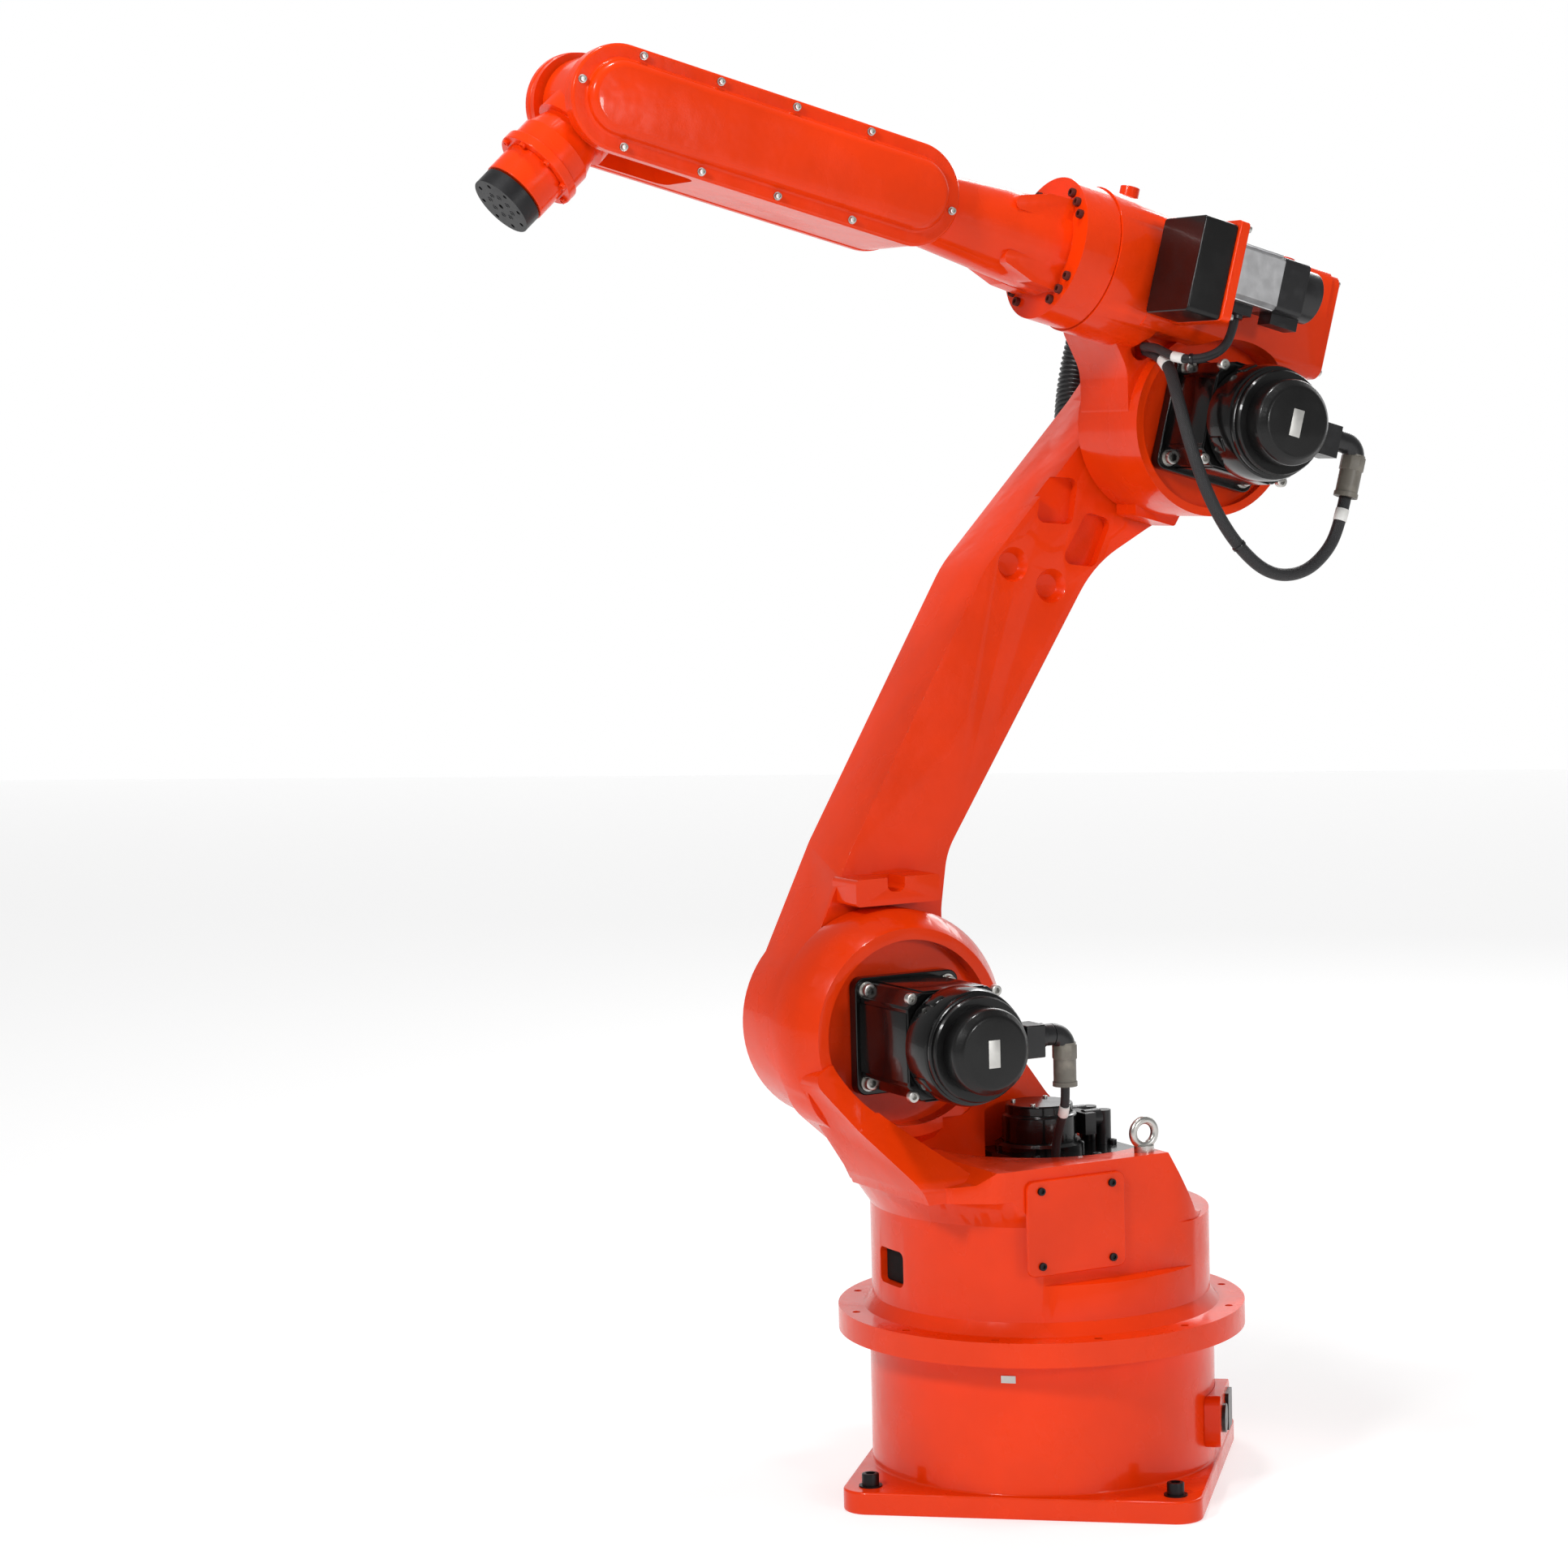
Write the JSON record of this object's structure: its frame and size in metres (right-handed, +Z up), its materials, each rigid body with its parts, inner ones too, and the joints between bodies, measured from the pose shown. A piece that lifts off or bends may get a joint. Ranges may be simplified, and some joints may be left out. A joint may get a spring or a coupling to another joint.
{
  "type": "six-axis industrial robot arm",
  "caption": "Six-axis industrial robot arm on a square bolt-down base, with turning column, lower arm, elbow with roll motor, belt-cover forearm and a small tool flange.",
  "frame": {"origin": "centre of the base's bottom face, on the column's turning axis", "axes": "+Z up along the column axis, +X to the front edge of the square base plate (away from the connector box), +Y to its left"},
  "size_m": [0.8687, 0.8318, 1.5815],
  "materials": {
    "black_paint": "gloss black paint",
    "black_plastic": "satin",
    "black_satin": "satin black",
    "brushed": "brushed",
    "machined": "machined, oiled",
    "orange": "gloss cast paint",
    "plug_grey": "dull grey brown",
    "rubber": "ribbed, satin",
    "steel": "zinc plated"
  },
  "bodies": {
    "base": {"base_casting": "orange", "yaw_gearbox": "machined", "base_connector_box": "orange", "base_sockets": "black_plastic"},
    "turret": {"turret_casting": "orange", "turret_cover_left": "orange", "turret_cover_right": "orange", "yaw_motor_plate": "black_paint", "yaw_motor": "black_paint", "yaw_motor_connector": "black_plastic", "lifting_eyes": "steel", "shoulder_gearbox": "machined", "shoulder_motor_flange": "black_paint", "shoulder_motor_body": "black_paint", "shoulder_motor_encoder": "black_satin", "shoulder_motor_socket": "black_plastic", "shoulder_motor_plug": "plug_grey", "shoulder_cable_gland": "black_plastic", "shoulder_motor_cable": "rubber"},
    "lower_arm": {"lower_arm_casting": "orange", "upper_hose_clamp": "steel", "lower_hose_clamp": "steel", "hose_gland": "black_plastic", "held_hose": "rubber"},
    "elbow": {"elbow_casting": "orange", "elbow_gearbox": "machined", "elbow_rear_cover": "orange", "roll_bearing_ring": "machined", "elbow_motor_flange": "black_paint", "elbow_motor_body": "black_paint", "elbow_motor_encoder": "black_satin", "elbow_motor_socket": "black_plastic", "elbow_motor_plug": "plug_grey", "roll_motor_plate": "orange", "roll_gear_cover": "black_paint", "roll_motor_body": "brushed", "roll_motor_encoder": "black_satin", "roll_motor_plug": "black_plastic", "hose_bracket": "black_satin", "elbow_motor_cable": "rubber", "roll_motor_cable": "rubber", "hose_loop": "rubber"},
    "forearm": {"forearm_casting": "orange", "forearm_cover_left": "orange", "forearm_cover_right": "orange"},
    "wrist": {"wrist_housing": "orange", "wrist_pivots": "black_satin", "wrist_bolt_ring": "orange", "wrist_neck": "orange"},
    "tool": {"tool_flange": "black_satin"}
  },
  "joints": [
    {"name": "yaw", "type": "hinge", "parent": "base", "child": "turret", "pos_m": [0, 0, 0.171], "axis": [0, 0, 1], "range_deg": [-210, 130]},
    {"name": "shoulder", "type": "hinge", "parent": "turret", "child": "lower_arm", "pos_m": [0.12716, 0.1067, 0.52], "axis": [-0.6428, 0.766, 0], "range_deg": [-35, 125]},
    {"name": "elbow", "type": "hinge", "parent": "lower_arm", "child": "elbow", "pos_m": [-0.16393, -0.13756, 1.17818], "axis": [0.6428, -0.766, 0], "range_deg": [-40, 120], "deforming": ["hose_loop"]},
    {"name": "roll", "type": "hinge", "parent": "elbow", "child": "forearm", "pos_m": [-0.06283, -0.02009, 1.36381], "axis": [0.7382, 0.6194, 0.2672], "range_deg": [-185, 185]},
    {"name": "wrist", "type": "hinge", "parent": "forearm", "child": "wrist", "pos_m": [0.38229, 0.35342, 1.52495], "axis": [0.6428, -0.766, 0], "range_deg": [-54, 170]},
    {"name": "tool", "type": "hinge", "parent": "wrist", "child": "tool", "pos_m": [0.47097, 0.42782, 1.41888], "axis": [0.5648, 0.4739, -0.6756], "range_deg": [-350, 350]}
  ]
}
